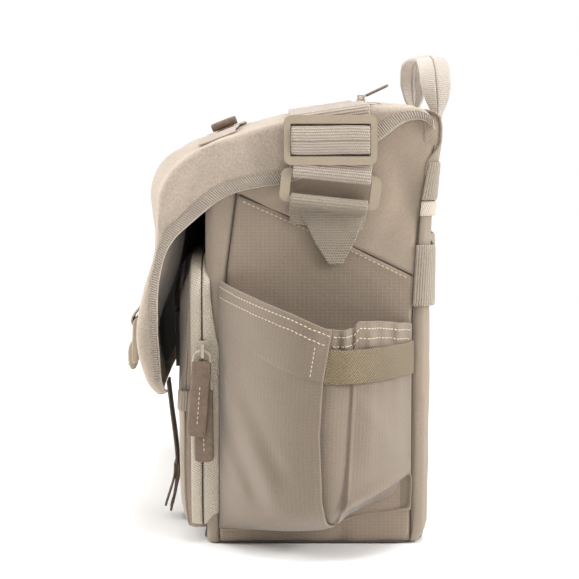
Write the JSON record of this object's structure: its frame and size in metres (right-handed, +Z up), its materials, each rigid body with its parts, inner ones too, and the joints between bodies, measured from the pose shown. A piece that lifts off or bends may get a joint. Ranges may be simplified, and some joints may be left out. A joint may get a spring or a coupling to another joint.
{
  "type": "flap shoulder bag",
  "caption": "Wrap-over flap shoulder bag with end bottle pockets, zipped front pocket, luggage band, carry handle and doubled webbing strap.",
  "frame": {"origin": "on the floor under the middle of the bag's overall box", "axes": "+X along the bag's width towards the end that carries the strap slider and front zip sliders, +Y towards the back, +Z up; the flap's front and its closures face -Y"},
  "size_m": [0.5212, 0.22, 0.322],
  "materials": {
    "base": "matte",
    "board": "matte",
    "canvas": "matte",
    "yoke": "matte",
    "lining": "matte",
    "zip_tape": "matte",
    "zip_coil": "satin",
    "zip_metal": "satin",
    "elastic": "matte",
    "webbing": "matte",
    "webbing_light": "matte",
    "webbing_dark": "matte",
    "hardware": "satin",
    "keeper": "matte",
    "leather": "satin"
  },
  "bodies": {
    "bag": {"base_panel": "base", "base_board": "board", "front_wall": "canvas", "back_wall": "canvas", "end_panel_right": "canvas", "end_panel_left": "canvas", "front_pocket_gusset": "canvas", "front_pocket_panel": "canvas", "bottle_pocket_right": "canvas", "bottle_pocket_left": "canvas", "back_panel": "canvas", "end_yoke_right": "yoke", "end_yoke_left": "yoke", "compartment_lining": "lining", "divider_right": "lining", "divider_left": "lining", "front_zip_tape": "zip_tape", "back_zip_tape": "zip_tape", "front_zip_coil": "zip_coil", "elastic_band_right": "elastic", "elastic_band_left": "elastic", "strap_anchor_right": "webbing", "strap_anchor_left": "webbing", "strap_leg_right": "webbing", "strap_leg_left": "webbing", "back_band_upper": "webbing", "luggage_band": "webbing", "strap_ring_right": "hardware", "strap_ring_left": "hardware", "strap_slider": "hardware", "receiver_right": "keeper", "receiver_left": "keeper"},
    "flap": {"flap_top_panel": "canvas", "flap_front_panel": "canvas", "flap_end_right": "canvas", "flap_end_left": "canvas", "flap_binding": "webbing", "flap_lining": "lining", "top_zip_tape": "zip_tape", "flap_webbing_strip": "webbing", "leather_keeper": "leather", "closure_strap_right": "webbing", "closure_strap_left": "webbing"},
    "strap": {"strap_top": "webbing"},
    "handle": {"carry_handle": "webbing_light"},
    "front_zip_upper": {"front_zip_slider_upper": "zip_metal"},
    "front_zip_lower": {"front_zip_slider_lower": "zip_metal"},
    "pull_upper": {"front_zip_pull_upper": "leather"},
    "pull_lower": {"front_zip_pull_lower": "leather"},
    "top_zip": {"top_zip_slider": "zip_metal"},
    "top_pull": {"top_zip_pull": "leather"},
    "back_zip": {"back_zip_slider": "zip_metal"},
    "back_pull": {"back_zip_pull": "leather"},
    "latch_r": {"latch_right": "hardware"},
    "latch_l": {"latch_left": "hardware"},
    "tail_r": {"closure_tail_right": "webbing_dark"},
    "tail_l": {"closure_tail_left": "webbing_dark"}
  },
  "joints": [
    {"name": "flap_open", "type": "hinge", "parent": "bag", "child": "flap", "pos_m": [0, 0.099, 0.273], "axis": [-1, 0, 0], "range_deg": [0, 110]},
    {"name": "strap_carry", "type": "hinge", "parent": "bag", "child": "strap", "pos_m": [0, 0.099, 0.273], "axis": [-1, 0, 0], "range_deg": [0, 110]},
    {"name": "handle_fold", "type": "hinge", "parent": "flap", "child": "handle", "pos_m": [0, 0.10425, 0.28175], "axis": [-1, 0, 0], "range_deg": [0, 45], "stiffness_Nm_per_rad": 0.1},
    {"name": "front_zip_upper_travel", "type": "slide", "parent": "bag", "child": "front_zip_upper", "axis": [0, 0, 1], "range_m": [0, 0.026]},
    {"name": "front_zip_lower_travel", "type": "slide", "parent": "bag", "child": "front_zip_lower", "axis": [0, 0, -1], "range_m": [0, 0.045]},
    {"name": "pull_upper_swing", "type": "hinge", "parent": "front_zip_upper", "child": "pull_upper", "pos_m": [0.2004, -0.0538, 0.1295], "axis": [1, 0, 0], "range_deg": [-20, 4]},
    {"name": "pull_lower_swing", "type": "hinge", "parent": "front_zip_lower", "child": "pull_lower", "pos_m": [0.1962, -0.0538, 0.112], "axis": [1, 0, 0], "range_deg": [-20, 4]},
    {"name": "top_zip_travel", "type": "slide", "parent": "flap", "child": "top_zip", "axis": [1, 0, 0], "range_m": [0, 0.28]},
    {"name": "top_pull_flip", "type": "hinge", "parent": "top_zip", "child": "top_pull", "pos_m": [-0.1362, 0.062, 0.2929], "axis": [1, 0, 0], "range_deg": [-15, 60]},
    {"name": "back_zip_travel", "type": "slide", "parent": "bag", "child": "back_zip", "axis": [1, 0, 0], "range_m": [0, 0.3]},
    {"name": "back_pull_flip", "type": "hinge", "parent": "back_zip", "child": "back_pull", "pos_m": [-0.1462, 0.101, 0.222], "axis": [1, 0, 0], "range_deg": [0, 60]},
    {"name": "latch_right_flip", "type": "hinge", "parent": "flap", "child": "latch_r", "pos_m": [0.105, -0.103, 0.139], "axis": [-1, 0, 0], "range_deg": [0, 70]},
    {"name": "tail_right_swing", "type": "hinge", "parent": "flap", "child": "tail_r", "pos_m": [0.105, -0.0823, 0.0965], "axis": [-1, 0, 0], "range_deg": [-2, 20]},
    {"name": "latch_left_flip", "type": "hinge", "parent": "flap", "child": "latch_l", "pos_m": [-0.105, -0.103, 0.139], "axis": [-1, 0, 0], "range_deg": [0, 70]},
    {"name": "tail_left_swing", "type": "hinge", "parent": "flap", "child": "tail_l", "pos_m": [-0.105, -0.0823, 0.0965], "axis": [-1, 0, 0], "range_deg": [-2, 20]}
  ],
  "couplings": [
    {"joint": "strap_carry", "follows": "flap_open", "ratio": 1}
  ]
}
